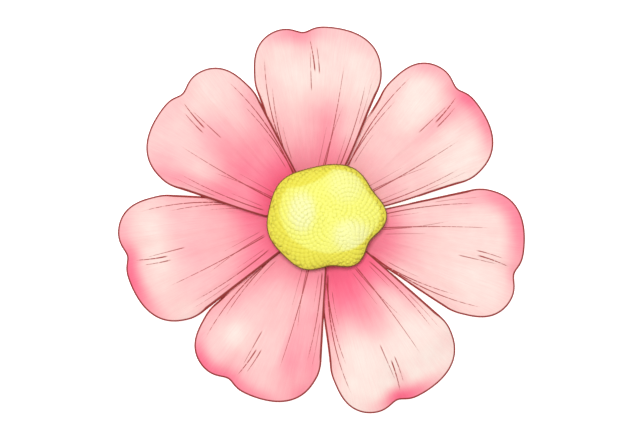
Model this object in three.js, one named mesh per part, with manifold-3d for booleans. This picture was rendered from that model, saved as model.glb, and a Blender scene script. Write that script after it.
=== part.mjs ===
import * as THREE from 'three';
import { mergeVertices } from 'three/addons/utils/BufferGeometryUtils.js';
import Module from 'manifold-3d';

// A cosmos flower head as picked, in millimetres, facing +Z. The origin is on the flower's axis, in
// the nipped end of the stalk, which stands on the table together with the tips of the outer bracts.

const wasm = await Module();
wasm.setup();

const upward = new THREE.Vector3(0, 0, 1);
const clearance = 0.3;

// Stalk end and receptacle
const stalkRadius = 1.5;
const stalkHeight = 3.6;
const receptacleRadius = 6.2;
const receptacleTop = 7.6;
const shoulderRadius = 7.2;
const shoulderHeight = 5.6;
const shoulderBevel = 0.5;
const neckFlare = [[2.4, 4.3], [4.6, 4.8]];

// Petals: a saucer that rises from the claws to a crest and falls a little towards the tips
const petalThickness = 0.7;
const clawStart = 5;
const clawHeight = receptacleTop + clearance + petalThickness / 2;
const saucerRise = 3;
const saucerCrest = 29;
const overlapLift = 0.56;

// The outline that all the petals share, seen from above, with x along the blade and y to its left.
// The blade ends in a rounded head about headAt, as long as tipReach beyond it and as wide as left
// and right, squarer the higher the square values. The notch is an angle about the head's middle,
// and lean lengthens the left lobe. The head's round edge runs headSweep degrees to either side.
const outline = {
  headAt: 27.2,
  tipReach: 8.8,
  left: 12.5,
  right: 10.5,
  squareLeft: 2.5,
  squareRight: 2.9,
  notch: -11,
  notchDepth: 1,
  notchWidth: 13.5,
  lean: -0.25,
  headSweep: 108,
};

// Where each petal lies: aim is its direction in degrees, slide moves it outwards and shift to its
// left, and hand -1 turns it over. A flank swells the straight side that slips under a neighbour, or
// hollows it if negative, by that much at swellAt, a fraction of the way along.
// The lifts raise an edge over its neighbour (about 1), lower it under that one (-1) or leave it free.
const petalPlaces = [
  { aim: 91.4, slide: -1.55, shift: 2.2, hand: -1, flankLeft: 0.9, flankRight: 0.5,
    liftLeft: -1, liftRight: 1, tipDrop: -0.6 },
  { aim: 42.8, slide: -2.1, shift: -0.1, hand: -1, flankLeft: 1.4, flankRight: 0.45,
    liftLeft: -1, liftRight: -0.55, tipDrop: 0.9 },
  { aim: -12.3, slide: -0.1, shift: -1.4, hand: 1, flankLeft: 0, flankRight: -0.3,
    liftLeft: 0.55, liftRight: -1, tipDrop: -0.3 },
  { aim: -65.7, slide: 0.2, shift: -0.7, hand: 1, flankLeft: 0, flankRight: 0.6,
    liftLeft: 1, liftRight: -1, tipDrop: 1.4 },
  { aim: -118.7, slide: -0.9, shift: -0.4, hand: 1, flankLeft: 0, flankRight: 1.1,
    liftLeft: 1, liftRight: -1, tipDrop: 0.2 },
  { aim: -164.7, slide: 1.8, shift: -1.4, hand: 1, flankLeft: 0, flankRight: 0,
    liftLeft: 1.1, liftRight: -1.08, tipDrop: 1 },
  { aim: 137.6, slide: -0.65, shift: 2.6, hand: 1, flankLeft: 0.3, flankRight: 0,
    liftLeft: 1.4, liftRight: 1.1, tipDrop: -1 },
];
const clawHalfWidth = 3.1;
const clawNarrowing = 0.35;
const clawEnd = 8.5;
const rayCrowding = 1.25;
const swellAt = 1 / 3;

// Relief of every blade: how far each effect goes, and the distances from the axis where it sets in
const archHeight = 0.9;
const archZone = [16, 27];
const creaseDepth = 0.7;
const creaseWidth = 0.11;
const creaseZone = [20, 34];
const dropZone = [26, 37];
const liftAcross = [0.05, 0.55];
const liftZone = [5.5, 7.8];
const liftFade = [28, 33];
const petalCellsAcross = 20;
const petalCellsAlong = 8;

// Disc: a cushion with a wavy outline and three soft mounds, covered with florets
const discRadius = 10.2;
const discWaves = [
  { turns: 1, size: 0.6, at: 170 },
  { turns: 2, size: 0.55, at: 12 },
  { turns: 5, size: 0.3, at: 5 },
  { turns: 6, size: 0.33, at: 4 },
  { turns: 7, size: 0.2, at: -6 },
];
const discRim = 11.45;
const discHeight = 3;
const mounds = [
  { x: -5, y: 0.8, height: 0.7 },
  { x: 3.1, y: 5.8, height: 0.6 },
  { x: 4, y: -3.2, height: 0.6 },
];
const moundWidth = 3.2;
const floretCount = 115;
const floretSides = 5;
const floretStand = 0.55;
const floretRoot = 0.7;
const floretProfile = [[0, -floretRoot], [0.97, 0.1], [0.55, floretStand], [0, 0.25]];
const goldenAngle = 137.508;
const outermostTilt = 92;
const rimCrowding = 0.56;
const bedDepth = 0.5;
const bedSectors = 32;
const bedTilts = [90, 72, 54, 36, 18];
const bedUnderside = [[4.6, receptacleTop + clearance], [4.6, 9.35], [6.4, 10]];

// Bracts: a pale inner one behind each petal, and a green outer one beside each gap, turned aside
// from its middle so that a petal hides it
const bractThickness = 0.65;
const bractTipHalfWidth = 0.35;
const turnedSegments = 28;
const cupWall = 0.8;
const cupTop = 7.6;
const innerBract = {
  end: 17,
  halfWidth: 2.4,
  belly: 0.7,
  taperFrom: 0.35,
  rootHeight: 6.8,
  tipHeight: 8.6,
  cupping: 0.25,
  cells: [4, 7],
};
const outerBract = {
  aside: 8,
  start: 4,
  end: 15,
  halfWidth: 1.6,
  widen: [0.75, 1.35],
  taperPower: 0.6,
  rootHeight: 5,
  bend: [0.1, 0.93],
  cells: [4, 9],
};

const petalPaint = new THREE.MeshStandardMaterial({ color: 0xf9b6bc, roughness: 0.65, metalness: 0 });
const floretPaint = new THREE.MeshStandardMaterial({ color: 0xf0e85c, roughness: 0.6, metalness: 0 });
const innerBractPaint = new THREE.MeshStandardMaterial({ color: 0xcfc98a, roughness: 0.6, metalness: 0 });
const greenPaint = new THREE.MeshStandardMaterial({ color: 0x6f9a45, roughness: 0.6, metalness: 0 });

const radians = THREE.MathUtils.degToRad;
const smooth = THREE.MathUtils.smoothstep;
const mix = THREE.MathUtils.lerp;

// A closed blade about a middle sheet: surface(s, v) has s from -1 to 1 across and v from 0 to 1
// along. Both faces are split into the same triangles, so that they never cross.
function bladeGeometry(surface, across, along, thickness) {
  const points = [];
  for (const face of [0.5, -0.5]) {
    for (let j = 0; j <= along; j += 1) {
      for (let i = 0; i <= across; i += 1) {
        const point = surface(2 * i / across - 1, j / along);
        points.push(point.x, point.y, point.z + face * thickness);
      }
    }
  }
  const row = across + 1;
  const sheet = row * (along + 1);
  const triangles = [];
  for (let j = 0; j < along; j += 1) {
    for (let i = 0; i < across; i += 1) {
      const a = j * row + i;
      const b = a + 1;
      const c = b + row;
      const d = a + row;
      triangles.push(a, d, c, a, c, b);
      triangles.push(sheet + a, sheet + c, sheet + d, sheet + a, sheet + b, sheet + c);
    }
  }
  const border = [];
  for (let i = 0; i < across; i += 1) border.push(i);
  for (let j = 0; j < along; j += 1) border.push(j * row + across);
  for (let i = across; i > 0; i -= 1) border.push(along * row + i);
  for (let j = along; j > 0; j -= 1) border.push(j * row);
  border.forEach((p, index) => {
    const q = border[(index + 1) % border.length];
    triangles.push(p, q, sheet + q, p, sheet + q, sheet + p);
  });
  const geometry = new THREE.BufferGeometry();
  geometry.setAttribute('position', new THREE.Float32BufferAttribute(points, 3));
  geometry.setIndex(triangles);
  geometry.computeVertexNormals();
  return geometry;
}

// A closed geometry as a solid for joining, without the slivers where a turned profile meets its axis
function toSolid(geometry) {
  const shape = geometry.clone();
  shape.deleteAttribute('normal');
  shape.deleteAttribute('uv');
  const merged = mergeVertices(shape, 1e-4);
  const corners = merged.index.array;
  const kept = [];
  for (let i = 0; i < corners.length; i += 3) {
    const [a, b, c] = [corners[i], corners[i + 1], corners[i + 2]];
    if (a !== b && b !== c && c !== a) kept.push(a, b, c);
  }
  const vertProperties = Float32Array.from(merged.attributes.position.array);
  return new wasm.Manifold(new wasm.Mesh({ numProp: 3, vertProperties, triVerts: Uint32Array.from(kept) }));
}

function joined(geometries) {
  const mesh = wasm.Manifold.union(geometries.map(toSolid)).getMesh();
  const geometry = new THREE.BufferGeometry();
  geometry.setAttribute('position', new THREE.BufferAttribute(mesh.vertProperties, 3));
  geometry.setIndex(new THREE.BufferAttribute(mesh.triVerts, 1));
  geometry.computeVertexNormals();
  return geometry;
}

// A profile of radii and heights, turned about Z
function turned(profile, segments) {
  const points = profile.map(([radius, height]) => new THREE.Vector2(radius, height));
  return new THREE.LatheGeometry(points, segments).rotateX(Math.PI / 2);
}

function named(name, geometry, material) {
  const mesh = new THREE.Mesh(geometry, material);
  mesh.name = name;
  return mesh;
}

// Height of the petals' common saucer at a distance from the axis
function saucerHeight(radius) {
  return clawHeight + saucerRise * Math.sin(Math.PI / 2 * (radius - clawStart) / (saucerCrest - clawStart));
}

// Point of the shared outline's round edge, seen from the middle of the head
function rimPoint(angle) {
  const side = angle > 0 ? outline.left : outline.right;
  const square = angle > 0 ? outline.squareLeft : outline.squareRight;
  const power = Math.abs(angle) > 90 ? 2 : square;
  const c = Math.cos(radians(angle));
  const s = Math.sin(radians(angle));
  const oval = (Math.abs(c / outline.tipReach) ** power + Math.abs(s / side) ** power) ** (-1 / power);
  const notch = outline.notchDepth * Math.exp(-(((angle - outline.notch) / outline.notchWidth) ** 2));
  const reach = oval - notch + outline.lean * s * Math.max(0, c);
  return { x: outline.headAt + reach * c, y: reach * s };
}

// Rises from nothing to its peak at a third of the way and falls back gently
function hump(part) {
  return part * (1 - part) ** 2;
}

// Middle sheet of a petal: straight rays fan out from the claw to the rim
function petalSurface(place, s, v) {
  const along = v ** rayCrowding;
  const rim = rimPoint(place.hand * s * outline.headSweep);
  const x = mix(clawStart, rim.x + place.slide, along);
  const flank = s > 0 ? place.flankLeft : place.flankRight;
  const swell = flank * s * Math.abs(s) * hump(along) / hump(swellAt);
  const fan = mix(s * clawHalfWidth, place.hand * rim.y, along) + swell;
  const open = smooth(x, clawStart, clawEnd);
  const y = fan * mix(clawNarrowing, 1, open) + place.shift * open;
  const radius = Math.hypot(x, y);
  const lift = s > 0 ? place.liftLeft : place.liftRight;
  const edge = smooth(Math.abs(s), ...liftAcross) * smooth(radius, ...liftZone);
  const fade = 1 - smooth(radius, ...liftFade);
  const arch = archHeight * (1 - s * s) * smooth(radius, ...archZone);
  const notchAt = place.hand * outline.notch / outline.headSweep;
  const furrow = Math.exp(-(((s - notchAt) / creaseWidth) ** 2));
  const crease = creaseDepth * furrow * smooth(radius, ...creaseZone);
  const drop = place.tipDrop * smooth(radius, ...dropZone);
  const z = saucerHeight(radius) + lift * overlapLift * edge * fade + arch - crease - drop;
  return new THREE.Vector3(x, y, z);
}

function rayPetal(place, index) {
  const surface = (s, v) => petalSurface(place, s, v);
  const geometry = bladeGeometry(surface, petalCellsAcross, petalCellsAlong, petalThickness);
  const petal = named(`ray_petal_${index + 1}`, geometry, petalPaint);
  petal.rotation.z = radians(place.aim);
  return petal;
}

// Radius of the disc's outline in a direction given in degrees
function discOutline(direction) {
  const waves = discWaves.map((wave) => wave.size * Math.cos(wave.turns * radians(direction - wave.at)));
  return discRadius + waves.reduce((sum, wave) => sum + wave, 0);
}

// Point of the cushion under the floret tips: tilt is 0 at the crown and 90 degrees at the rim
function cushionPoint(direction, tilt, inset) {
  const reach = (discOutline(direction) - inset) * Math.sin(radians(tilt));
  const x = reach * Math.cos(radians(direction));
  const y = reach * Math.sin(radians(direction));
  let z = discRim + (discHeight - inset) * Math.cos(radians(tilt));
  for (const mound of mounds) {
    z += mound.height * Math.exp(-((x - mound.x) ** 2 + (y - mound.y) ** 2) / moundWidth ** 2);
  }
  return new THREE.Vector3(x, y, z);
}

function cushionNormal(direction, tilt, inset) {
  const step = 2;
  const here = cushionPoint(direction, tilt, inset);
  const outward = cushionPoint(direction, tilt + step, inset).sub(here);
  const around = cushionPoint(direction + step, tilt, inset).sub(here);
  return outward.cross(around).normalize();
}

// Bed of the florets: a neck between the claws, a sloping underside above them, and the dome
function discBed() {
  const inset = floretStand + bedDepth;
  const points = [0, 0, receptacleTop + clearance];
  for (let i = 0; i < bedSectors; i += 1) {
    const direction = 360 * i / bedSectors;
    const [c, s] = [Math.cos(radians(direction)), Math.sin(radians(direction))];
    for (const [radius, height] of bedUnderside) points.push(radius * c, radius * s, height);
    for (const tilt of bedTilts) points.push(...cushionPoint(direction, tilt, inset).toArray());
  }
  points.push(...cushionPoint(0, 0, inset).toArray());
  const rows = bedUnderside.length + bedTilts.length;
  const crown = points.length / 3 - 1;
  const triangles = [];
  for (let i = 0; i < bedSectors; i += 1) {
    const here = 1 + i * rows;
    const next = 1 + ((i + 1) % bedSectors) * rows;
    triangles.push(0, next, here);
    for (let j = 0; j < rows - 1; j += 1) {
      triangles.push(here + j, next + j, next + j + 1, here + j, next + j + 1, here + j + 1);
    }
    triangles.push(here + rows - 1, next + rows - 1, crown);
  }
  const geometry = new THREE.BufferGeometry();
  geometry.setAttribute('position', new THREE.Float32BufferAttribute(points, 3));
  geometry.setIndex(triangles);
  return geometry;
}

// One tubular floret: a bud-like crown with a dimple, its root sunk into the bed
function discFloret(index) {
  const direction = index * goldenAngle;
  const tilt = outermostTilt * ((index + 0.5) / floretCount) ** rimCrowding;
  const normal = cushionNormal(direction, tilt, floretStand);
  const geometry = turned(floretProfile, floretSides);
  geometry.applyQuaternion(new THREE.Quaternion().setFromUnitVectors(upward, normal));
  const seat = cushionPoint(direction, tilt, floretStand);
  return geometry.translate(seat.x, seat.y, seat.z);
}

function discFlorets() {
  const florets = Array.from({ length: floretCount }, (_, index) => discFloret(index));
  return named('disc_florets', joined([discBed(), ...florets]), floretPaint);
}

// Middle sheet of an inner bract: an egg-shaped blade that hugs the back of its petal
function innerBractSurface(s, v) {
  const x = mix(receptacleRadius + clearance + cupWall / 2, innerBract.end, v);
  const taper = mix(innerBract.halfWidth, bractTipHalfWidth, smooth(v, innerBract.taperFrom, 1));
  const halfWidth = taper + innerBract.belly * Math.sin(Math.PI * v);
  const z = mix(innerBract.rootHeight, innerBract.tipHeight, v) - innerBract.cupping * s * s;
  return new THREE.Vector3(x, s * halfWidth, z);
}

function innerBracts() {
  const inside = receptacleRadius + clearance;
  const foot = shoulderHeight + clearance;
  const cup = turned([
    [inside, foot],
    [inside + cupWall, foot],
    [inside + cupWall, cupTop],
    [inside, cupTop],
    [inside, foot],
  ], turnedSegments);
  const blades = petalPlaces.map((place) => {
    const blade = bladeGeometry(innerBractSurface, ...innerBract.cells, bractThickness);
    return blade.rotateZ(radians(place.aim));
  });
  return named('inner_bracts', joined([cup, ...blades]), innerBractPaint);
}

// Middle sheet of an outer bract: a narrow green blade that bends down until its tip lies flat
function outerBractSurface(s, v) {
  const x = mix(outerBract.start, outerBract.end, v);
  const taper = (1 - v) ** outerBract.taperPower * mix(...outerBract.widen, v);
  const halfWidth = outerBract.halfWidth * taper + bractTipHalfWidth;
  const z = mix(outerBract.rootHeight, bractThickness / 2, smooth(v, ...outerBract.bend));
  return new THREE.Vector3(x, s * halfWidth, z);
}

function receptacle() {
  const body = turned([
    [0, 0],
    [stalkRadius, 0],
    [stalkRadius, stalkHeight],
    ...neckFlare,
    [shoulderRadius - shoulderBevel, shoulderHeight - shoulderBevel],
    [shoulderRadius, shoulderHeight - shoulderBevel / 2],
    [shoulderRadius, shoulderHeight],
    [receptacleRadius, shoulderHeight],
    [receptacleRadius, receptacleTop],
    [0, receptacleTop],
  ], turnedSegments);
  const blades = petalPlaces.map((place, index) => {
    const next = petalPlaces[(index + 1) % petalPlaces.length];
    const half = THREE.MathUtils.euclideanModulo(place.aim - next.aim, 360) / 2;
    const blade = bladeGeometry(outerBractSurface, ...outerBract.cells, bractThickness);
    return blade.rotateZ(radians(place.aim - half + outerBract.aside));
  });
  return named('receptacle', joined([body, ...blades]), greenPaint);
}

const flower = new THREE.Group();
flower.add(receptacle());
flower.add(innerBracts());
petalPlaces.forEach((place, index) => flower.add(rayPetal(place, index)));
flower.add(discFlorets());

export default flower;
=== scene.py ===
import math
import random

import bmesh
import bpy
from mathutils import Matrix, Vector, kdtree


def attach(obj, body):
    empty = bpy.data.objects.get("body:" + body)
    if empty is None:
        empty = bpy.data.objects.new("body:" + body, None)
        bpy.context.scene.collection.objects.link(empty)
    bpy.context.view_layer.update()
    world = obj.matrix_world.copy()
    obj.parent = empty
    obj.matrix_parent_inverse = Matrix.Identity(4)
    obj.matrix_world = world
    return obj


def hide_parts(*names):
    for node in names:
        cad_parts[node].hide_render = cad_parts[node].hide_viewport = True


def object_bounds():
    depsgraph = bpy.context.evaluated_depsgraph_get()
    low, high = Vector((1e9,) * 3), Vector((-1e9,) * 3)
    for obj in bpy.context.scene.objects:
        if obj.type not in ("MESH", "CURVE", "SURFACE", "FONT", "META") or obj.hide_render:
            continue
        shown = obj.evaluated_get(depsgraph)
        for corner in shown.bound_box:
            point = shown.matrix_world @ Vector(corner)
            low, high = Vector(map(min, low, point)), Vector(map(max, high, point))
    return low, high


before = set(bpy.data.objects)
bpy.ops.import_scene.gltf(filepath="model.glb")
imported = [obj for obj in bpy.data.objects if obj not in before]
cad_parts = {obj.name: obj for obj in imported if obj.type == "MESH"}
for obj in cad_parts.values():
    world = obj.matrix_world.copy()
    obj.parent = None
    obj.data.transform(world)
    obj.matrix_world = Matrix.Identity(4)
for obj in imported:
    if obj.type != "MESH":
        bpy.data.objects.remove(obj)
cadLow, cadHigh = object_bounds()
print("Frame loaded with", len(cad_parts), "nodes")

mm = 0.001  # pieces are shaped in millimetres, and finishPiece brings them to metres


def smoothStep(value, low, high):
    part = min(max((value - low) / (high - low), 0), 1)
    return part * part * (3 - 2 * part)


def blendValues(first, second, part):
    return first + (second - first) * part


def hump(part):  # nothing at either end, highest a third of the way
    return part * (1 - part) ** 2


def finishPiece(name, bm, material, node):
    bmesh.ops.scale(bm, vec=(mm, mm, mm), verts=bm.verts)
    mesh = bpy.data.meshes.new(name)
    bm.to_mesh(mesh)
    bm.free()
    mesh.materials.append(material)
    mesh.shade_smooth()
    piece = bpy.data.objects.new(name, mesh)
    bpy.context.scene.collection.objects.link(piece)
    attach(piece, "root")
    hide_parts(node)
    return piece


def addThickness(piece, thickness, rounding):
    solid = piece.modifiers.new("thickness", "SOLIDIFY")
    solid.thickness = thickness * mm
    solid.offset = 0
    solid.vertex_group = "body"
    rim = piece.modifiers.new("roundRim", "BEVEL")
    rim.width = rounding * mm
    rim.segments = 2
    rim.limit_method = "ANGLE"
    rim.angle_limit = math.radians(50)


# Colours are written as the render shows them. The light is strong, to keep the paper white, so they
# are laid on darker by this share
lightReserve = 0.8


def paint(code):
    channels = [int(code[i:i + 2], 16) / 255 for i in (0, 2, 4)]
    linear = [((c + 0.055) / 1.055) ** 2.4 if c > 0.04045 else c / 12.92 for c in channels]
    return (*[c * lightReserve for c in linear], 1)


class Nodes:
    # Short calls for adding nodes to a material's or a group's tree and linking them

    def __init__(self, tree):
        self.tree = tree
        self.tree.nodes.clear()

    def put(self, socket, value):
        if isinstance(value, bpy.types.NodeSocket):
            self.tree.links.new(value, socket)
        elif value is not None:
            socket.default_value = value

    def add(self, kind, inputs=(), **settings):
        node = self.tree.nodes.new(kind)
        for key, value in settings.items():
            setattr(node, key, value)
        for index, value in enumerate(inputs):
            self.put(node.inputs[index], value)
        return node

    def maths(self, operation, *inputs):
        return self.add("ShaderNodeMath", inputs, operation=operation).outputs[0]

    def vector(self, operation, *inputs):
        node = self.add("ShaderNodeVectorMath", inputs, operation=operation)
        return node.outputs["Value" if operation == "LENGTH" else "Vector"]

    def ramp(self, value, low, high, start=0, end=1):  # a smooth step between two values
        node = self.add("ShaderNodeMapRange", (value, low, high, start, end))
        node.interpolation_type = "SMOOTHSTEP"
        return node.outputs[0]

    def tint(self, factor, base, colour):
        node = self.add("ShaderNodeMix", data_type="RGBA")
        self.put(node.inputs[0], factor)
        self.put(node.inputs[6], base)
        self.put(node.inputs[7], colour)
        return node.outputs[2]

    def noise(self, vector, scale, detail=2, roughness=0.5):
        node = self.add("ShaderNodeTexNoise")
        self.put(node.inputs["Vector"], vector)
        self.put(node.inputs["Scale"], scale)
        self.put(node.inputs["Detail"], detail)
        self.put(node.inputs["Roughness"], roughness)
        return node.outputs[0]

    def group(self, group, **inputs):
        node = self.tree.nodes.new("ShaderNodeGroup")
        node.node_tree = group
        for key, value in inputs.items():
            self.put(node.inputs[key], value)
        return node.outputs[0]

    def millimetres(self):  # the piece's own coordinates, from metres
        place = self.add("ShaderNodeMapping")
        place.inputs["Scale"].default_value = (1 / mm, 1 / mm, 1 / mm)
        self.put(place.inputs["Vector"], self.add("ShaderNodeTexCoord").outputs["Object"])
        return place.outputs[0]

    def attribute(self, name):
        return self.add("ShaderNodeAttribute", attribute_name=name).outputs["Fac"]

    def finish(self, colour, roughness, height, distance, **constants):
        bump = self.add("ShaderNodeBump")
        bump.inputs["Distance"].default_value = distance * mm
        self.put(bump.inputs["Height"], height)
        shader = self.add("ShaderNodeBsdfPrincipled")
        self.put(shader.inputs["Base Color"], colour)
        self.put(shader.inputs["Roughness"], roughness)
        self.put(shader.inputs["Normal"], bump.outputs[0])
        for key, value in constants.items():
            shader.inputs[key].default_value = value
        output = self.add("ShaderNodeOutputMaterial")
        self.tree.links.new(shader.outputs[0], output.inputs["Surface"])


def newGroup(name, inputs, output):
    tree = bpy.data.node_groups.new(name, "ShaderNodeTree")
    for label, value in inputs.items():
        kind = "NodeSocketVector" if isinstance(value, tuple) else "NodeSocketFloat"
        socket = tree.interface.new_socket(label, in_out="INPUT", socket_type=kind)
        socket.default_value = value
    tree.interface.new_socket(output, in_out="OUTPUT", socket_type="NodeSocketFloat")
    nodes = Nodes(tree)
    given = nodes.add("NodeGroupInput").outputs
    result = nodes.add("NodeGroupOutput").inputs[0]
    return tree, nodes, given, result


def buildSoftPatch():  # 1 in the middle of a soft oval spot, fading to 0
    inputs = {"Place": (0, 0, 0), "Centre": (0, 0, 0), "Turn": 0, "Along": 1, "Across": 1}
    tree, nodes, given, result = newGroup("softPatch", inputs, "Mask")
    offset = nodes.vector("SUBTRACT", given["Place"], given["Centre"])
    turned = nodes.add("ShaderNodeVectorRotate", rotation_type="Z_AXIS")
    nodes.put(turned.inputs["Vector"], offset)
    nodes.put(turned.inputs["Angle"], nodes.maths("MULTIPLY", given["Turn"], -1))
    axes = nodes.add("ShaderNodeSeparateXYZ", (turned.outputs[0],)).outputs
    along = nodes.maths("ABSOLUTE", nodes.maths("DIVIDE", axes[0], given["Along"]))
    across = nodes.maths("ABSOLUTE", nodes.maths("DIVIDE", axes[1], given["Across"]))
    spread = nodes.maths("ADD", nodes.maths("POWER", along, 2), nodes.maths("POWER", across, 2))
    fall = nodes.maths("MULTIPLY", spread, -1)
    nodes.put(result, nodes.maths("EXPONENT", fall))
    return tree


# How a vein is drawn: its width at the far end, how soft its sides and ends are, and where it breaks
veinStroke = {
    "farWidth": 0.45,
    "sides": (1.3, 0.4),
    "startFade": (0, 0.9),
    "endFade": (1, 0.86),
    "breakScale": 2.2,
    "breakDrift": -0.2,
    "breakLevels": (0.22, 0.36),
    "breakStrength": 0.4,
}


def buildVeinLine():  # a fine bowed line from Start to End that tapers and breaks up on its way
    stroke = veinStroke
    inputs = {"Blade": (0, 0, 0), "Start": (0, 0, 0), "End": (1, 0, 0), "Bow": 0, "Width": 0.2,
              "Strength": 1}
    tree, nodes, given, result = newGroup("veinLine", inputs, "Mask")
    here = nodes.add("ShaderNodeSeparateXYZ", (given["Blade"],)).outputs
    start = nodes.add("ShaderNodeSeparateXYZ", (given["Start"],)).outputs
    end = nodes.add("ShaderNodeSeparateXYZ", (given["End"],)).outputs
    run = nodes.maths("SUBTRACT", end[0], start[0])
    gone = nodes.maths("SUBTRACT", here[0], start[0])
    part = nodes.maths("DIVIDE", gone, run)
    chord = nodes.maths("MULTIPLY_ADD", nodes.maths("SUBTRACT", end[1], start[1]), part, start[1])
    arch = nodes.maths("MULTIPLY", part, nodes.maths("SUBTRACT", 1, part))
    arch = nodes.maths("MULTIPLY", arch, 4)  # 1 midway along the line
    line = nodes.maths("MULTIPLY_ADD", arch, given["Bow"], chord)
    away = nodes.maths("ABSOLUTE", nodes.maths("SUBTRACT", here[1], line))
    taper = nodes.ramp(part, 0, 1, 1, stroke["farWidth"])
    half = nodes.maths("MULTIPLY", nodes.maths("MULTIPLY", given["Width"], 0.5), taper)
    body = nodes.ramp(nodes.maths("DIVIDE", away, half), *stroke["sides"])
    ends = nodes.maths("MULTIPLY", nodes.ramp(gone, *stroke["startFade"]),
                       nodes.ramp(part, *stroke["endFade"]))
    grain = nodes.noise(given["Blade"], stroke["breakScale"])
    patchy = nodes.maths("MULTIPLY_ADD", part, stroke["breakDrift"], grain)
    broken = nodes.ramp(patchy, *stroke["breakLevels"], stroke["breakStrength"], 1)
    shown = nodes.maths("MULTIPLY", nodes.maths("MULTIPLY", body, ends), broken)
    nodes.put(result, nodes.maths("MULTIPLY", shown, given["Strength"]))
    return tree


def buildFibreGrain():  # fine long fibres that follow a blade's own coordinates
    inputs = {"Blade": (0, 0, 0), "Across": 160, "Along": 4}
    tree, nodes, given, result = newGroup("fibreGrain", inputs, "Height")
    density = nodes.add("ShaderNodeCombineXYZ", (given["Across"], given["Along"], 1)).outputs[0]
    drawn = nodes.vector("MULTIPLY", given["Blade"], density)
    fibres = nodes.noise(drawn, scale=1, detail=3, roughness=0.6)
    cells = nodes.noise(drawn, scale=2, detail=1)
    cellShare = 0.3
    nodes.put(result, nodes.maths("MULTIPLY_ADD", cells, cellShare, fibres))
    return tree


softPatch = buildSoftPatch()
veinLine = buildVeinLine()
fibreGrain = buildFibreGrain()
print("Shared node groups built")

# The blade that all seven petals share, seen from above: x runs along it and y to its left
petalBlade = {
    "clawStart": 5,
    "clawHeight": 8.25,
    "saucerRise": 3,
    "saucerCrest": 29,
    "overlapLift": 0.56,
    "headAt": 27.2,
    "tipReach": 8.8,
    "left": 12.5,
    "right": 10.5,
    "squareLeft": 2.5,
    "squareRight": 2.9,
    "notch": -11,
    "notchDepth": 1,
    "notchWidth": 13.5,
    "lean": -0.25,
    "headSweep": 108,
    "clawHalfWidth": 3.1,
    "clawNarrowing": 0.35,
    "clawEnd": 8.5,
    "rayCrowding": 1.25,
    "archHeight": 0.9,
    "archZone": (16, 27),
    "creaseDepth": 0.7,
    "creaseWidth": 0.11,
    "creaseZone": (20, 34),
    "dropZone": (26, 37),
    "liftAcross": (0.05, 0.55),
    "liftZone": (5.5, 7.8),
    "liftFade": (28, 33),
    "thickness": 0.34,
    "thinMargin": 1.4,
    "marginShare": 0.4,
    "edgeRounding": 0.05,
    "pleatDepths": {7: 0.05, 12: 0.035, 19: 0.02},
    "pleatBends": (0.5, 1.6),
    "pleatTurn": 12,
    "pleatZone": (10, 16),
    "pleatFade": (24, 35),
    "pleatTipShare": 0.3,
    "pleatMargin": 1.5,
    "outlineSteps": 900,
    "columns": 112,
    "rows": 60,
    "finish": {
        "pigment": ("fff0e6", "ffd4cf", "ffb8bc", "ff9ca9", "ff8099", "ff6487"),  # from none to full
        "edge": "98302b",
        "vein": "a32c28",
        "clawFade": (10, 17),
        "headFade": (17, 25),
        "bandEdge": 0.2,
        "mottleScale": 0.45,
        "mottle": 0.1,
        "fibreDensity": {"Across": 150, "Along": 5},
        "fibreLevels": (0.4, 0.9),
        "fibrePigment": 0.06,
        "edgeLine": (0.36, 0.24),
        "tuckLevels": (0.25, 0.6),
        "tuckFade": 0.85,
        "veinDepth": 0.15,
        "roughLevels": (0.2, 0.9),
        "roughness": (0.5, 0.66),
        "bump": 0.05,
        "specular": 0.3,
    },
}

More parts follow.
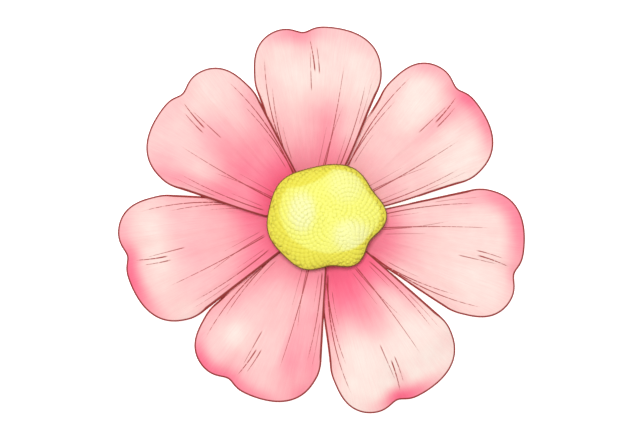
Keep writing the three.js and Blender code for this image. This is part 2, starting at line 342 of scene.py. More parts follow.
# Each petal's place, as in the solid model, then its pigment at the claw, in the middle and in the
# head, and its spots: blushes of pigment, some of them painted shade along the crease and where
# petals overlap, and pale spots that are painted highlights on the lobes. For each spot, how much
# pigment more or less, how far out it is and how many degrees to the left of the petal's aim, how
# far it reaches along and across, and, for one that keeps to the petal's edge, how wide a band it
# colours there. A tuck is a stretch where the petal slips under its neighbour and its own dark edge
# fades: place and reach, as for a spot.
petals = [
    {"aim": 91.4, "slide": -1.55, "shift": 2.2, "hand": -1, "flanks": (0.9, 0.5), "lifts": (-1, 1),
     "drop": -0.6, "pigment": (0.67, 0.38, 0.08), "tucks": [(16, 30, 6, 3)], "pigmentAndLightSpots": [
         (0.18, 16.5, -1, 4.4, 2.3), (-0.12, 17, -17, 5, 2.4), (-0.08, 19, 18, 3, 2),
         (0.54, 33.5, 9, 3.4, 5.4, 4.6), (0.2, 32, -10, 4, 6, 5), (0.12, 30.3, 6, 2, 3.4),
         (0.14, 26, 22, 5, 2), (0.06, 27, -20, 3, 1.2), (0.07, 28, -6, 5, 2.4)]},
    {"aim": 42.8, "slide": -2.1, "shift": -0.1, "hand": -1, "flanks": (1.4, 0.45), "lifts": (-1, -0.55),
     "drop": 0.9, "pigment": (0.4, 0.24, 0.06), "tucks": [(15, 25, 5.5, 3)], "pigmentAndLightSpots": [
         (0.36, 27, -2, 6, 1.7), (0.47, 33.2, -2, 3.4, 3.4, 3.8), (0.54, 33, -13, 4, 5, 3.8),
         (0.4, 32.7, 12.5, 3.6, 6, 4.4), (0.16, 25, 20, 5, 2), (0.07, 25, -10, 4, 2),
         (0.12, 30.5, 2, 2, 4), (0.16, 30.8, -8, 2.3, 3.8)]},
    {"aim": -12.3, "slide": -0.1, "shift": -1.4, "hand": 1, "flanks": (0, -0.3), "lifts": (0.55, -1),
     "drop": -0.3, "pigment": (0.75, 0.21, 0.14), "tucks": [(10, -25, 4, 2)], "pigmentAndLightSpots": [
         (0.5, 30.8, 16.8, 6, 5.6, 4.8), (0.47, 34, 6, 4.6, 6, 4.8), (0.16, 34.5, -6, 2, 4, 2.4),
         (-0.06, 29, -11, 4, 5), (0.06, 16, 0, 2.5, 7), (0.1, 15, -14, 3, 3), (-0.12, 12, 18, 3, 2.2),
         (0.08, 24, 20, 4, 2), (0.07, 25, -22, 6, 2)]},
    {"aim": -65.7, "slide": 0.2, "shift": -0.7, "hand": 1, "flanks": (0, 0.6), "lifts": (1, -1),
     "drop": 1.4, "pigment": (0.95, 0.53, 0.03), "tucks": [(13, -27, 4, 2)], "pigmentAndLightSpots": [
         (0.96, 34.4, -1, 3, 5, 3.9), (0.2, 32, 0.5, 2, 1.3), (0.09, 34.4, 9, 2.4, 4, 2.8),
         (0.22, 15, -11, 3.5, 4), (-0.26, 18.4, 14, 3.4, 2.6), (0.15, 16, 20, 3.4, 1.6),
         (-0.1, 19.4, -15, 2.6, 2), (0.2, 25, -22, 7, 2), (0.1, 21.5, -2, 3, 2.4), (0.07, 24, 4, 3, 5),
         (0.13, 23, 21, 4, 2), (0.08, 31, 20, 2.6, 2)]},
    {"aim": -118.7, "slide": -0.9, "shift": -0.4, "hand": 1, "flanks": (0, 1.1), "lifts": (1, -1),
     "drop": 0.2, "pigment": (0.67, 0.3, 0.24), "tucks": [(18, -25, 5, 3)], "pigmentAndLightSpots": [
         (0.34, 26.5, 15, 5, 2.9), (0.1, 18, 16, 4, 3), (0.09, 22, 12, 4, 1.1), (-0.07, 24, 8, 5, 1.1),
         (-0.18, 27, -10, 2.6, 2.6), (0.18, 22, -21, 8, 2.2), (0.1, 16, -17, 2.4, 2),
         (0.5, 34.4, -4, 3.8, 7, 4), (0.38, 34, -14, 3.2, 3.6, 3.6), (0.08, 31, -3, 2, 4),
         (0.2, 34.5, 8, 2.6, 4, 3), (0.3, 32.7, 19.5, 2.5, 2.2), (0.3, 27.4, 23.5, 6, 1.8),
         (0.12, 18, 23, 3.4, 1.8)]},
    {"aim": -164.7, "slide": 1.8, "shift": -1.4, "hand": 1, "flanks": (0, 0), "lifts": (1.1, -1.08),
     "drop": 1, "pigment": (0.93, 0.42, 0.34), "tucks": [(17, -24, 5, 2)], "pigmentAndLightSpots": [
         (0.62, 36.3, 2, 4, 6.8, 3.7), (-0.26, 31.5, -2, 3.4, 9), (0.15, 19, 21, 4, 2),
         (-0.16, 30.8, 19, 3.6, 2.8), (-0.09, 33, -16, 4, 4), (0.08, 25, -1, 2.6, 2),
         (0.16, 15, -14, 2.6, 5), (0.1, 15.5, -20, 2.6, 1.8), (0.1, 15.5, 6, 2.4, 4),
         (0.1, 18, -21, 4, 1.8), (0.18, 16.2, 16.5, 3, 2.4)]},
    {"aim": 137.6, "slide": -0.65, "shift": 2.6, "hand": 1, "flanks": (0.3, 0), "lifts": (1.4, 1.1),
     "drop": -1, "pigment": (1, 0.6, 0.19), "tucks": [], "pigmentAndLightSpots": [
         (0.22, 24, 10, 4, 3), (0.14, 24.5, 2, 4, 3), (0.06, 28.5, 7, 3, 1.4), (0.12, 17.5, 14, 4, 2.8),
         (-0.06, 31, -3, 3, 3), (0.22, 24.6, -14, 4, 2.4), (0.1, 34.5, 8, 2, 6), (0.2, 26, -21, 3, 1.6),
         (0.32, 27, 28, 7, 1.6), (0.16, 31, 23, 4, 3), (0.14, 20.5, 30.5, 3.5, 1.3)]},
]

# Veins of the shared blade: start and end along and left, how far the line bows out, width, strength
veins = [
    ((27.2, 1.3), (32.4, 0.9), 0.1, 0.25, 0.9),
    ((27.6, 0.5), (33.8, -0.35), 0.15, 0.29, 1),
    ((24.2, -0.2), (31.6, -0.3), 0, 0.23, 0.8),
    ((8.9, -3.4), (30.9, -8.5), -1.4, 0.29, 1),
    ((10, -4.2), (25.6, -7.25), -0.62, 0.26, 0.95),
    ((12, -4), (18.7, -5.6), -0.15, 0.18, 0.65),
    ((18, 8.1), (26.2, 10.8), 0.15, 0.18, 0.55),
    ((9.8, 4.1), (25.6, 9.55), 0.5, 0.26, 0.9),
    ((9.8, 1.6), (29.1, 5.8), 0.25, 0.24, 0.9),
    ((9.8, 1.3), (21.7, 5.5), -0.3, 0.22, 0.75),
    ((10.5, 0.6), (18.5, 2.5), 0, 0.17, 0.55),
    ((10.5, 3.8), (16.7, 6), 0, 0.18, 0.55),
]


def rimPoint(angle):  # on the head's round edge, seen from the middle of the head
    shape = petalBlade
    side = shape["left"] if angle > 0 else shape["right"]
    square = shape["squareLeft"] if angle > 0 else shape["squareRight"]
    power = 2 if abs(angle) > 90 else square
    c = math.cos(math.radians(angle))
    s = math.sin(math.radians(angle))
    oval = (abs(c / shape["tipReach"]) ** power + abs(s / side) ** power) ** (-1 / power)
    notch = shape["notchDepth"] * math.exp(-(((angle - shape["notch"]) / shape["notchWidth"]) ** 2))
    reach = oval - notch + shape["lean"] * s * max(0, c)
    return shape["headAt"] + reach * c, reach * s


def petalPoint(petal, across, outward):
    shape = petalBlade
    along = outward ** shape["rayCrowding"]
    rimX, rimY = rimPoint(petal["hand"] * across * shape["headSweep"])
    x = blendValues(shape["clawStart"], rimX + petal["slide"], along)
    flank = petal["flanks"][0 if across > 0 else 1]
    swell = flank * across * abs(across) * hump(along) / hump(1 / 3)
    fan = blendValues(across * shape["clawHalfWidth"], petal["hand"] * rimY, along) + swell
    opened = smoothStep(x, shape["clawStart"], shape["clawEnd"])
    y = fan * blendValues(shape["clawNarrowing"], 1, opened) + petal["shift"] * opened
    radius = math.hypot(x, y)
    climb = (radius - shape["clawStart"]) / (shape["saucerCrest"] - shape["clawStart"])
    height = shape["clawHeight"] + shape["saucerRise"] * math.sin(math.pi / 2 * climb)
    lift = petal["lifts"][0 if across > 0 else 1] * shape["overlapLift"]
    lift *= smoothStep(abs(across), *shape["liftAcross"]) * smoothStep(radius, *shape["liftZone"])
    lift *= 1 - smoothStep(radius, *shape["liftFade"])
    arch = shape["archHeight"] * (1 - across ** 2) * smoothStep(radius, *shape["archZone"])
    furrowAt = petal["hand"] * shape["notch"] / shape["headSweep"]
    furrow = math.exp(-(((across - furrowAt) / shape["creaseWidth"]) ** 2))
    crease = shape["creaseDepth"] * furrow * smoothStep(radius, *shape["creaseZone"])
    drop = petal["drop"] * smoothStep(radius, *shape["dropZone"])
    return Vector((x, y, height + lift + arch - crease - drop))


def petalPleats(draw):  # shallow flutes that fan out with the blade, drawn afresh for each petal
    shape = petalBlade
    waves = [(count, depth, draw.uniform(0, 2 * math.pi), draw.uniform(*shape["pleatBends"]))
             for count, depth in shape["pleatDepths"].items()]

    def height(across, radius):
        zone = smoothStep(radius, *shape["pleatZone"])
        zone *= blendValues(1, shape["pleatTipShare"], smoothStep(radius, *shape["pleatFade"]))
        total = 0
        for count, depth, phase, bend in waves:
            total += depth * math.sin(math.pi * count * across + phase + bend * radius / shape["pleatTurn"])
        return total * zone

    return height


def marginFinder(petal):  # nearest point of the petal's own outline, the claw's foot left out
    steps = petalBlade["outlineSteps"]
    border = [(-1, i / steps) for i in range(steps)]
    border += [(2 * i / steps - 1, 1) for i in range(steps)]
    border += [(1, 1 - i / steps) for i in range(steps)]
    finder = kdtree.KDTree(len(border))
    for index, (across, outward) in enumerate(border):
        point = petalPoint(petal, across, outward)
        finder.insert((point.x, point.y, 0), index)
    finder.balance()
    return finder


def petalSpot(nodes, flat, petal, distance, left, along, across):
    turn = math.radians(petal["aim"] + left)
    centre = (distance * math.cos(turn), distance * math.sin(turn), 0)
    return nodes.group(softPatch, Place=flat, Centre=centre, Turn=turn, Along=along, Across=across)


def petalMaterial(name, petal):
    material = bpy.data.materials.new(name)
    material.use_nodes = True
    nodes = Nodes(material.node_tree)
    finish = petalBlade["finish"]
    place = nodes.millimetres()
    fibres = nodes.add("ShaderNodeUVMap", uv_map="blade").outputs[0]
    grain = nodes.group(fibreGrain, Blade=fibres, **finish["fibreDensity"])
    margin = nodes.attribute("margin")

    # Pigment, densest in the throat, with the petal's own blushes, partly painted shade, and pale spots
    # that are painted highlights
    flat = nodes.vector("MULTIPLY", place, (1, 1, 0))
    reach = nodes.vector("LENGTH", flat)
    claw, middle, head = petal["pigment"]
    pigment = nodes.maths("ADD", nodes.ramp(reach, *finish["headFade"], middle, head),
                          nodes.ramp(reach, *finish["clawFade"], claw - middle, 0))
    for amount, distance, left, along, across, *band in petal["pigmentAndLightSpots"]:
        pigmentAndLightSpot = petalSpot(nodes, flat, petal, distance, left, along, across)
        if band:
            pigmentAndLightSpot = nodes.maths("MULTIPLY", pigmentAndLightSpot, nodes.ramp(margin, band[0], finish["bandEdge"]))
        pigment = nodes.maths("MULTIPLY_ADD", pigmentAndLightSpot, amount, pigment)
    mottle = nodes.maths("SUBTRACT", nodes.noise(place, finish["mottleScale"]), 0.5)
    pigment = nodes.maths("MULTIPLY_ADD", mottle, finish["mottle"], pigment)
    dense = nodes.ramp(grain, *finish["fibreLevels"])
    pigment = nodes.maths("MULTIPLY_ADD", dense, finish["fibrePigment"], pigment)
    scale = nodes.add("ShaderNodeValToRGB", (pigment,))
    stops = finish["pigment"]
    for index, tint in enumerate(stops):
        part = index / (len(stops) - 1)
        stop = scale.color_ramp.elements[index] if index < 2 else scale.color_ramp.elements.new(part)
        stop.position = part
        stop.color = paint(tint)
    colour = scale.outputs[0]

    # The blade's own frame, turned over for a petal of the other hand
    blade = nodes.add("ShaderNodeMapping")
    hand = petal["hand"]
    blade.inputs["Scale"].default_value = (1 / mm, hand / mm, 1 / mm)
    blade.inputs["Rotation"].default_value = (0, 0, -hand * math.radians(petal["aim"]))
    blade.inputs["Location"].default_value = (-petal["slide"], -hand * petal["shift"], 0)
    nodes.put(blade.inputs["Vector"], nodes.add("ShaderNodeTexCoord").outputs["Object"])
    lines = 0
    for start, end, bow, width, strength in veins:
        line = nodes.group(veinLine, Blade=blade.outputs[0], Start=(*start, 0), End=(*end, 0), Bow=bow,
                           Width=width, Strength=strength)
        lines = nodes.maths("MAXIMUM", line, lines)

    colour = nodes.tint(lines, colour, paint(finish["vein"]))
    edge = nodes.ramp(margin, *finish["edgeLine"])
    for tuck in petal["tucks"]:
        hidden = nodes.ramp(petalSpot(nodes, flat, petal, *tuck), *finish["tuckLevels"])
        edge = nodes.maths("MULTIPLY_ADD", nodes.maths("MULTIPLY", hidden, edge), -finish["tuckFade"], edge)
    colour = nodes.tint(edge, colour, paint(finish["edge"]))

    relief = nodes.maths("MULTIPLY_ADD", lines, -finish["veinDepth"], grain)
    roughness = nodes.ramp(grain, *finish["roughLevels"], *finish["roughness"])
    nodes.finish(colour, roughness, relief, finish["bump"], **{"Specular IOR Level": finish["specular"]})
    return material


def makePetal(number, petal):
    shape = petalBlade
    pleats = petalPleats(random.Random(number))
    finder = marginFinder(petal)
    bm = bmesh.new()
    bm.loops.layers.uv.new("blade")
    margin = bm.verts.layers.float.new("margin")
    weight = bm.verts.layers.deform.new("body")
    bmesh.ops.create_grid(bm, x_segments=shape["columns"], y_segments=shape["rows"], size=1, calc_uvs=True)
    for vert in bm.verts:
        across = vert.co.x
        outward = (vert.co.y + 1) / 2
        point = petalPoint(petal, across, outward)
        distance = finder.find((point.x, point.y, 0))[2]
        radius = math.hypot(point.x, point.y)
        rise = pleats(across, radius) * smoothStep(distance, 0, shape["pleatMargin"])
        vert.co = point + Vector((0, 0, rise))
        vert[margin] = distance
        vert[weight][0] = blendValues(shape["marginShare"], 1, smoothStep(distance, 0, shape["thinMargin"]))
    turn = Matrix.Rotation(math.radians(petal["aim"]), 4, "Z")
    bmesh.ops.transform(bm, matrix=turn, verts=bm.verts)
    bmesh.ops.recalc_face_normals(bm, faces=bm.faces)
    name = f"petal{number}"
    piece = finishPiece(name, bm, petalMaterial(name + "Satin", petal), f"ray_petal_{number}")
    piece.vertex_groups.new(name="body")
    addThickness(piece, shape["thickness"], shape["edgeRounding"])


for number, petal in enumerate(petals, 1):
    makePetal(number, petal)
print("Petals made:", len(petals))

# The disc: a lumpy cushion with a wavy outline, packed with florets
flowerDisc = {
    "radius": 10.2,
    # Waves round the outline: how many, how high, and the direction of a crest
    "waves": [(1, 0.6, 170), (2, 0.55, 12), (5, 0.3, 5), (6, 0.33, 4), (7, 0.2, -6)],
    "rim": 11.45,
    "height": 3,
    "mounds": [(-5, 0.8, 0.7), (3.1, 5.8, 0.6), (4, -3.2, 0.6)],  # place and height
    "moundWidth": 3.2,
    "underside": [(6.4, 10), (4.6, 9.35), (4.6, 7.9), (0, 7.9)],  # radius and height
    "bedInset": 0.27,
    "budCount": 520,
    "budReach": 0.95,
    "openFrom": 0.86,
    "seatInset": 0.24,
    "goldenAngle": 137.508,
    "sizes": (0.98, 1.1),
    "heights": (0.9, 1.1),
    "rimCount": 110,
    "rimRows": [(88, 62, 0.5), (80, 54, 0.3), (72.5, 42, 0.3)],  # degrees down from the top, lean, inset
    "rimSizes": (0.84, 0.9),
    "bedSegments": (96, 36),
    "bedDepth": 0.6,
    "floretTop": 0.3,
    # Rings of a floret from its root up: radius, height, and how far in the clefts between its lobes lie
    "budRings": [(0.34, -0.5, 1), (0.5, -0.1, 1), (0.46, 0.04, 0.96), (0.28, 0.12, 0.86)],
    "budTop": 0.1,
    "openRings": [(0.34, -0.5, 1), (0.44, -0.04, 1), (0.5, 0.09, 0.74), (0.24, 0.05, 0.85),
                  (0.15, 0.12, 1)],
    "openTop": 0.17,
    "floretSides": 10,  # every other one is a cleft
    "seed": 20,
    "finish": {
        # Deeper yellow: painted shade round the disc's rim, and a random tone between florets
        "rim": "f4ec4e",
        "lemon": "fdfd7c",
        # Pale yellows of the painted highlights
        "light": "feffa6",
        "pale": "feffb8",
        # Olive for the disc's edge, partly the outer florets' own colour and partly painted shade
        "line": "866a22",
        # Duller yellow, painted shade deep in the clefts between florets
        "cleft": "f0e65c",
        "wanderScale": 0.7,
        "wander": 0.06,
        "ovalCentre": (0.35, 1.2, 0),
        "ovalReach": (9.2, 7.7, 1),
        "ovalEdge": (1.05, 0.97),
        "rimShadeBand": (0.9, 1.4),
        "shoulderShade": {"Centre": (-3.6, 8, 0), "Turn": math.radians(22), "Along": 5, "Across": 1.9},
        "shoulderShadeEdge": (0.45, 0.25),
        # Painted highlights, lighter patches over the mounds: centre, reach along and across, tint and
        # strength
        "paintedHighlights": [((-4.7, 1, 0), 2.7, 4, "pale", 1), ((3.2, 6, 0), 3.7, 3.6, "light", 0.7),
                    ((4.2, -3.2, 0), 3.9, 3.4, "pale", 0.8)],
        "highlightEdge": (0.2, 0.8),
        "cleftShadeDepths": (0.1, 0.5),
        "cleftShadeShare": 0.22,
        "toneShare": 0.1,
        "edgeLine": (0.48, 0.34),
        "grainScale": 9,
        "roughLevels": (0.3, 0.7),
        "roughness": (0.45, 0.65),
        "bump": 0.06,
        "specular": 0.3,
    },
}


def discOutline(direction):
    waves = [size * math.cos(turns * math.radians(direction - at))
             for turns, size, at in flowerDisc["waves"]]
    return flowerDisc["radius"] + sum(waves)


def cushionPoint(direction, tilt, inset):
    reach = (discOutline(direction) - inset) * math.sin(math.radians(tilt))
    x = reach * math.cos(math.radians(direction))
    y = reach * math.sin(math.radians(direction))
    z = flowerDisc["rim"] + (flowerDisc["height"] - inset) * math.cos(math.radians(tilt))
    for moundX, moundY, height in flowerDisc["mounds"]:
        z += height * math.exp(-((x - moundX) ** 2 + (y - moundY) ** 2) / flowerDisc["moundWidth"] ** 2)
    return Vector((x, y, z))


def cushionNormal(direction, tilt, inset):
    step = 2
    here = cushionPoint(direction, tilt, inset)
    outward = cushionPoint(direction, tilt + step, inset) - here
    around = cushionPoint(direction + step, tilt, inset) - here
    return outward.cross(around).normalized()


def lobedShell(rings, top):  # one closed floret, for copying
    sides = flowerDisc["floretSides"]
    bm = bmesh.new()
    ring = bmesh.ops.create_circle(bm, cap_ends=True, radius=1, segments=sides)["verts"]
    edges = list(bm.edges)
    for level, (radius, height, cleft) in enumerate(rings):
        if level:
            grown = bmesh.ops.extrude_edge_only(bm, edges=edges)["geom"]
            ring = [part for part in grown if isinstance(part, bmesh.types.BMVert)]
            edges = [part for part in grown if isinstance(part, bmesh.types.BMEdge)
                     and all(vert in ring for vert in part.verts)]
        for vert in ring:
            angle = math.atan2(vert.co.y, vert.co.x)
            side = round(angle / (2 * math.pi) * sides)
            reach = radius if side % 2 == 0 else radius * cleft
            vert.co = Vector((reach * math.cos(angle), reach * math.sin(angle), height))
    grown = bmesh.ops.extrude_edge_only(bm, edges=edges)["geom"]
    ring = [part for part in grown if isinstance(part, bmesh.types.BMVert)]
    bmesh.ops.pointmerge(bm, verts=ring, merge_co=(0, 0, top))
    bmesh.ops.recalc_face_normals(bm, faces=bm.faces)
    mesh = bpy.data.meshes.new("floret")
    bm.to_mesh(mesh)
    bm.free()
    return mesh


def discMaterial():
    material = bpy.data.materials.new("lemonFloret")
    material.use_nodes = True
    nodes = Nodes(material.node_tree)
    finish = flowerDisc["finish"]
    place = nodes.millimetres()
    flat = nodes.vector("MULTIPLY", place, (1, 1, 0))
    margin = nodes.attribute("margin")
    wander = nodes.noise(place, finish["wanderScale"])

    # Lemon inside an oval that leaves a deeper band all round, painted shade that is broadest at the bottom
    # and upper left
    oval = nodes.vector("DIVIDE", nodes.vector("SUBTRACT", flat, finish["ovalCentre"]), finish["ovalReach"])
    spread = nodes.maths("MULTIPLY_ADD", wander, finish["wander"], nodes.vector("LENGTH", oval))
    inside = nodes.ramp(spread, *finish["ovalEdge"])
    inside = nodes.maths("MULTIPLY", inside, nodes.ramp(margin, *finish["rimShadeBand"]))
    shoulderShade = nodes.group(softPatch, Place=flat, **finish["shoulderShade"])
    inside = nodes.maths("MULTIPLY", inside, nodes.ramp(shoulderShade, *finish["shoulderShadeEdge"]))
    colour = nodes.tint(inside, paint(finish["rim"]), paint(finish["lemon"]))
    # Painted highlights: three lighter patches over the mounds
    for centre, along, across, tint, strength in finish["paintedHighlights"]:
        highlight = nodes.group(softPatch, Place=flat, Centre=centre, Along=along, Across=across)
        highlight = nodes.maths("MULTIPLY", nodes.ramp(highlight, *finish["highlightEdge"]), strength)
        colour = nodes.tint(nodes.maths("MULTIPLY", highlight, inside), colour, paint(finish[tint]))

    # Painted shade: duller the deeper a point lies below its floret's top, and on the bed
    depth = nodes.ramp(nodes.attribute("depth"), *finish["cleftShadeDepths"])
    depth = nodes.maths("MULTIPLY", depth, finish["cleftShadeShare"])
    colour = nodes.tint(depth, colour, paint(finish["cleft"]))
    tone = nodes.ramp(nodes.attribute("tone"), 0, 1, 0, finish["toneShare"])
    colour = nodes.tint(tone, colour, paint(finish["rim"]))
    # Olive edge line: partly the outer florets' own colour, partly painted shade where the disc turns down
    # to the petals
    colour = nodes.tint(nodes.ramp(margin, *finish["edgeLine"]), colour, paint(finish["line"]))
    grain = nodes.noise(place, finish["grainScale"])
    roughness = nodes.ramp(grain, *finish["roughLevels"], *finish["roughness"])
    nodes.finish(colour, roughness, grain, finish["bump"], **{"Specular IOR Level": finish["specular"]})
    return material


def makeDisc():
    shape = flowerDisc
    draw = random.Random(shape["seed"])
    bm = bmesh.new()
    tone = bm.verts.layers.float.new("tone")
    depth = bm.verts.layers.float.new("depth")
    margin = bm.verts.layers.float.new("margin")

    # Bed of the florets: a dome over a neck that stands between the claws
    around, upright = shape["bedSegments"]
    bmesh.ops.create_uvsphere(bm, u_segments=around, v_segments=upright, radius=1)
    for vert in bm.verts:
        direction = math.degrees(math.atan2(vert.co.y, vert.co.x))
        tilt = math.degrees(math.acos(max(-1, min(1, vert.co.z))))
        if tilt <= 90:
            vert.co = cushionPoint(direction, tilt, shape["bedInset"])
        else:
            rim = cushionPoint(direction, 90, shape["bedInset"])
            stops = [(math.hypot(rim.x, rim.y), rim.z)] + shape["underside"]
            step = (tilt - 90) / 90 * (len(stops) - 1)
            index = min(int(step), len(stops) - 2)
            radius = blendValues(stops[index][0], stops[index + 1][0], step - index)
            height = blendValues(stops[index][1], stops[index + 1][1], step - index)
            turn = math.radians(direction)
            vert.co = Vector((radius * math.cos(turn), radius * math.sin(turn), height))
        # The bed lies deep, so it takes the full painted shade of the clefts
        vert[depth] = shape["bedDepth"]

    bud = lobedShell(shape["budRings"], shape["budTop"])
    opened = lobedShell(shape["openRings"], shape["openTop"])
    seats = []
    for index in range(shape["budCount"]):
        part = (index + 0.5) / shape["budCount"]
        tilt = math.degrees(math.asin(shape["budReach"] * math.sqrt(part)))
        direction = index * shape["goldenAngle"]
        axis = cushionNormal(direction, tilt, shape["seatInset"])
        shell = opened if part > shape["openFrom"] else bud
        seat = cushionPoint(direction, tilt, shape["seatInset"])
        seats.append((seat, axis, shell, draw.uniform(*shape["sizes"])))
    for row, (tilt, leanAngle, inset) in enumerate(shape["rimRows"]):
        for index in range(shape["rimCount"]):
            direction = 360 * (index + row / 2) / shape["rimCount"]
            lean = math.radians(leanAngle)
            turn = math.radians(direction)
            aside = math.sin(lean)
            axis = Vector((aside * math.cos(turn), aside * math.sin(turn), math.cos(lean)))
            seat = cushionPoint(direction, tilt, inset)
            seats.append((seat, axis, bud, draw.uniform(*shape["rimSizes"])))

    for seat, axis, shell, size in seats:
        floret = shell.copy()
        stand = Matrix.Translation(seat) @ axis.to_track_quat("Z", "Y").to_matrix().to_4x4()
        spin = Matrix.Rotation(draw.uniform(0, 2 * math.pi), 4, "Z")
        scale = Matrix.Diagonal((size, size, draw.uniform(*shape["heights"]), 1))
        floret.transform(stand @ spin @ scale)
        before = len(bm.verts)
        bm.from_mesh(floret)
        bm.verts.ensure_lookup_table()
        shade = draw.random()
        for vert in bm.verts[before:]:
            vert[tone] = shade
            # Depth below the floret's top, which the material darkens as painted shade
            vert[depth] = max(0, shape["floretTop"] - (vert.co - seat).dot(axis))
        bpy.data.meshes.remove(floret)
    for vert in bm.verts:
        direction = math.degrees(math.atan2(vert.co.y, vert.co.x))
        vert[margin] = discOutline(direction) - math.hypot(vert.co.x, vert.co.y)
    bpy.data.meshes.remove(bud)
    bpy.data.meshes.remove(opened)
    finishPiece("discFlorets", bm, discMaterial(), "disc_florets")


makeDisc()
print("Disc made")

# Underneath: the pale inner bracts in their cup, and the green receptacle with the outer ones
bracts = {
    "thickness": 0.4,
    "marginThinning": 0.16,
    "marginReach": 0.7,
    "tipHalfWidth": 0.35,
    "tipRounding": 0.93,
    "tipDrawIn": 0.95,
    "tipMargin": 6,
    "turns": 84,
    "cupInside": 6.5,
    "cupWall": 0.8,
    "cupFoot": 5.9,
    "cupTop": 7.6,
    "footRounding": (0.15, 0.3),
    "lipRounding": (0.25, 0.2),
    "inner": {"end": 17, "halfWidth": 2.4, "belly": 0.7, "taperFrom": 0.35, "rootHeight": 6.8,
              "tipHeight": 8.6, "cupping": 0.25, "columns": 20, "rows": 36},
    "outer": {"aside": 8, "start": 4, "end": 15, "halfWidth": 1.6, "widen": (0.75, 1.35), "taperPower": 0.6,
              "rootHeight": 5, "tipHeight": 0.325, "bend": (0.1, 0.93), "keel": 0.12, "columns": 16,
              "rows": 44},
    # The receptacle over its nipped stalk, from the middle of the rest face up: radius and height
    "receptacle": [
        (0, 0), (1.3, 0), (1.5, 0.15), (1.42, 0.7), (1.38, 1.8), (1.42, 2.8), (1.6, 3.6), (2.4, 4.25),
        (3.4, 4.6), (4.6, 4.8), (5.9, 4.95), (6.7, 5.15), (7.1, 5.4), (7.1, 5.55), (6.9, 5.6), (6.2, 5.6),
        (6.2, 7.4), (6, 7.6), (0, 7.6),
    ],
    "stalkRidges": 12,
    "ridgeHeight": 0.045,
    "ridgeFade": (3, 5),
    "straw": {"body": "cdc588", "light": "dfd9a4", "vein": "a58a55", "margin": "efe6c4"},
    "green": {"body": "6a9440", "light": "7fa650", "vein": "4f7431", "margin": "a9bf74",
              "pith": "dfe6b8", "strand": "8aa05a"},
    "finish": {
        "fibreDensity": {"Across": 60, "Along": 5},
        "mottleScale": 0.5,
        "mottleLevels": (0.35, 0.65),
        "stripeEdge": (0.55, 0.95),
        "stripeShare": 0.6,
        "stripeHeight": 0.6,
        "paleEdge": (0.55, 0.15),
        "bladesOnly": (0, 0.01),
        "roughLevels": (0.3, 0.8),
        "roughness": (0.42, 0.62),
        "bump": 0.08,
        "specular": 0.35,
    },
    "cutEnd": {
        "wanderScale": 3,
        "wander": 0.3,
        "strands": 14,
        "strandEdge": (-0.2, 0.7),
        "ringInside": (0.85, 1),
        "ringOutside": (1.3, 1.15),
        "faceHeight": (0.08, 0.03),
        "faceEdge": (1.5, 1.38),
    },
}


def turnProfile(bm, profile, steps):
    verts = [bm.verts.new((radius, 0, height)) for radius, height in profile]
    edges = [bm.edges.new(pair) for pair in zip(verts, verts[1:])]
    bmesh.ops.spin(bm, geom=verts + edges, cent=(0, 0, 0), axis=(0, 0, 1), angle=2 * math.pi, steps=steps,
                   use_merge=True)
    bmesh.ops.remove_doubles(bm, verts=bm.verts, dist=0.0001)


def roundedTip(outward):  # draws a blade's last stretch in to a round end
    part = max(0, (outward - bracts["tipRounding"]) / (1 - bracts["tipRounding"]))
    return math.sqrt(1 - bracts["tipDrawIn"] * part ** 2)


def innerBractPoint(across, outward):
    shape = bracts["inner"]
    start = bracts["cupInside"] + bracts["cupWall"] / 2
    narrowing = smoothStep(outward, shape["taperFrom"], 1)
    taper = blendValues(shape["halfWidth"], bracts["tipHalfWidth"], narrowing)
    halfWidth = (taper + shape["belly"] * math.sin(math.pi * outward)) * roundedTip(outward)
    cupping = shape["cupping"] * halfWidth / shape["halfWidth"]
    height = blendValues(shape["rootHeight"], shape["tipHeight"], outward) - cupping * across ** 2
    return Vector((blendValues(start, shape["end"], outward), across * halfWidth, height))


def outerBractPoint(across, outward):
    shape = bracts["outer"]
    taper = (1 - outward) ** shape["taperPower"] * blendValues(*shape["widen"], outward)
    halfWidth = (shape["halfWidth"] * taper + bracts["tipHalfWidth"]) * roundedTip(outward)
    height = blendValues(shape["rootHeight"], shape["tipHeight"], smoothStep(outward, *shape["bend"]))
    keel = shape["keel"] * (1 - across ** 2) * math.sin(math.pi * outward)
    return Vector((blendValues(shape["start"], shape["end"], outward), across * halfWidth, height - keel))


def addBlades(bm, pointAt, aims, shape):
    thickness = bracts["thickness"]
    for aim in aims:
        blade = bmesh.new()
        blade.loops.layers.uv.new("blade")
        margin = blade.verts.layers.float.new("margin")
        bmesh.ops.create_grid(blade, x_segments=shape["columns"], y_segments=shape["rows"], size=1,
                              calc_uvs=True)
        for vert in blade.verts:
            across = vert.co.x
            outward = (vert.co.y + 1) / 2
            point = pointAt(across, outward)
            halfWidth = pointAt(1, outward).y
            vert[margin] = min(halfWidth * (1 - abs(across)), (1 - outward) * bracts["tipMargin"])
            vert.co = point
        turn = Matrix.Rotation(math.radians(aim), 4, "Z")
        bmesh.ops.transform(blade, matrix=turn, verts=blade.verts)
        bmesh.ops.recalc_face_normals(blade, faces=blade.faces)
        bmesh.ops.solidify(blade, geom=blade.faces, thickness=thickness)
        bmesh.ops.translate(blade, vec=(0, 0, thickness / 2), verts=blade.verts)
        bmesh.ops.recalc_face_normals(blade, faces=blade.faces)
        blade.normal_update()
        thinned = [(vert, vert.normal.z * bracts["marginThinning"]) for vert in blade.verts]
        for vert, sunk in thinned:
            vert.co.z -= sunk * (1 - smoothStep(vert[margin], 0, bracts["marginReach"]))
        sheet = bpy.data.meshes.new("blade")
        blade.to_mesh(sheet)
        blade.free()
        bm.from_mesh(sheet)
        bpy.data.meshes.remove(sheet)


